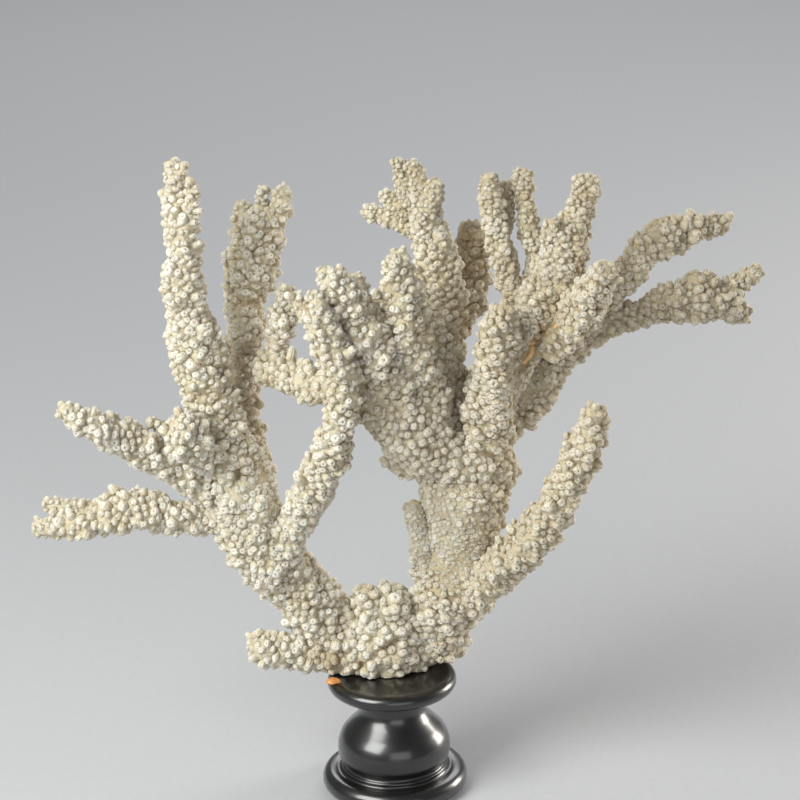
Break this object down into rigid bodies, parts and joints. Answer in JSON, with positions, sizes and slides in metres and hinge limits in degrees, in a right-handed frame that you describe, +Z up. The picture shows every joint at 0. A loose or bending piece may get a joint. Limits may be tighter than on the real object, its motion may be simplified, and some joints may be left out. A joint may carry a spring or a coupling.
{
  "type": "branching coral skeleton on stand",
  "caption": "Bleached branching coral skeleton with knobbly, tapering limbs, fixed by its sawn foot on a small round black lacquered turned stand.",
  "frame": {"origin": "centre of the stand's flat underside", "axes": "+Z up, +X across the coral's widest spread, +Y towards the back of the coral"},
  "size_m": [0.3069, 0.0868, 0.2765],
  "materials": {
    "bleached_coral": "matt, porous, beaded with small tubular corallites",
    "black_lacquered_wood": "lacquer rubbed to a satin sheen",
    "amber_adhesive": "dull gloss"
  },
  "bodies": {
    "root": {"coral_foot": "bleached_coral", "left_trunk": "bleached_coral", "right_trunk": "bleached_coral", "tall_left_branch": "bleached_coral", "rear_left_branch": "bleached_coral", "left_front_stub": "bleached_coral", "upper_left_arm": "bleached_coral", "lower_left_arm": "bleached_coral", "front_branch": "bleached_coral", "crossing_arm": "bleached_coral", "low_right_branch": "bleached_coral", "right_arm": "bleached_coral", "tall_middle_branch": "bleached_coral", "right_crown_branch": "bleached_coral", "upper_right_arm": "bleached_coral", "right_front_stub": "bleached_coral", "inner_crown_branch": "bleached_coral", "thin_crown_branch": "bleached_coral", "rear_crown_branch": "bleached_coral", "middle_front_stub": "bleached_coral", "slanted_front_branch": "bleached_coral", "small_rear_stub": "bleached_coral", "right_leaf_stub": "bleached_coral", "stand": "black_lacquered_wood", "adhesive_dab": "amber_adhesive"}
  },
  "joints": []
}
